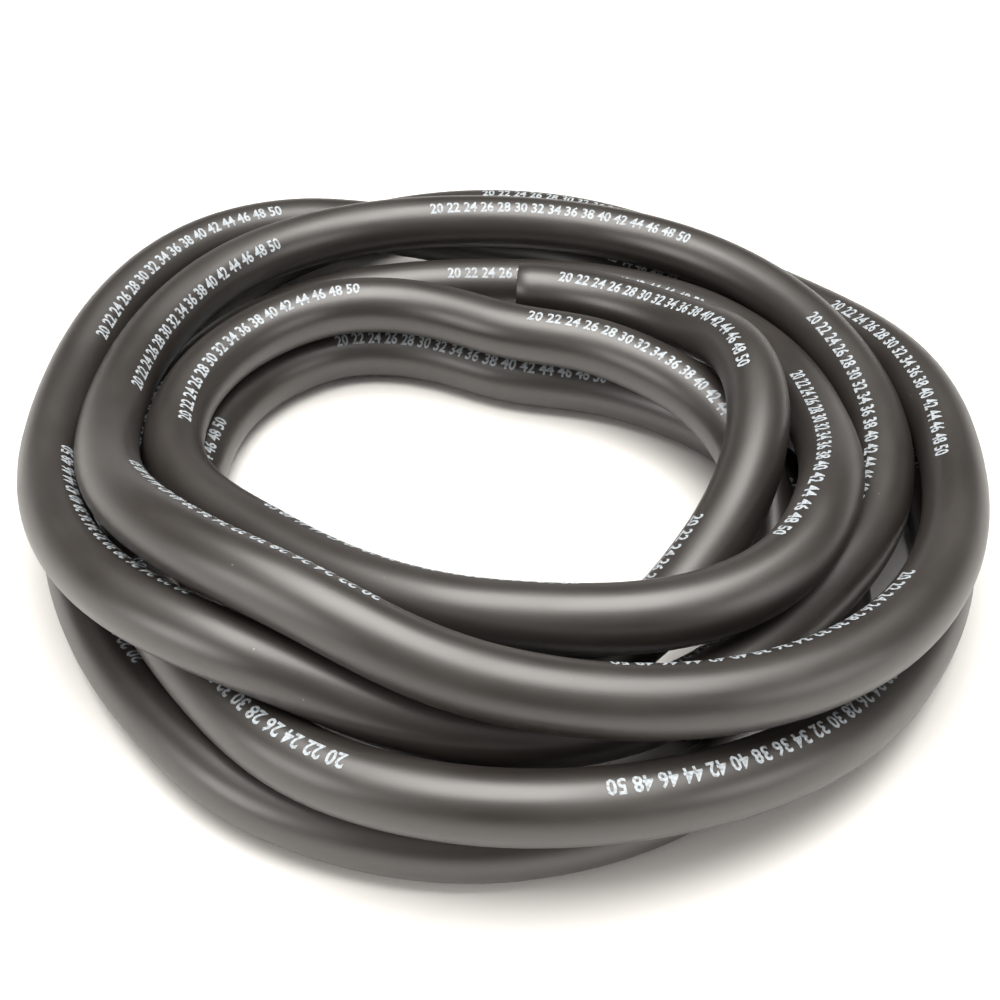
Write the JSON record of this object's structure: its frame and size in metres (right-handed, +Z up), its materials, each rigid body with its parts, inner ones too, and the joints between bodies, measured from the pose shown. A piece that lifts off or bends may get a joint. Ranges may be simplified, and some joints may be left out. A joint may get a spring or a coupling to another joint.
{
  "type": "fuel hose coil",
  "caption": "Loose coil of thick-walled rubber fuel hose, one length cut square at both ends, its laps crossing over each other.",
  "frame": {"origin": "middle of the coil's outline, on the floor it lies on", "axes": "+Z up through the eye of the coil, +Y towards its flat back side, +X to the right; the laps are stacked highest at -Y"},
  "size_m": [0.391, 0.4244, 0.0936],
  "materials": {
    "hose_rubber": "satin moulded nitrile rubber cover, warm dark grey"
  },
  "bodies": {
    "root": {"hose": "hose_rubber"}
  },
  "joints": []
}
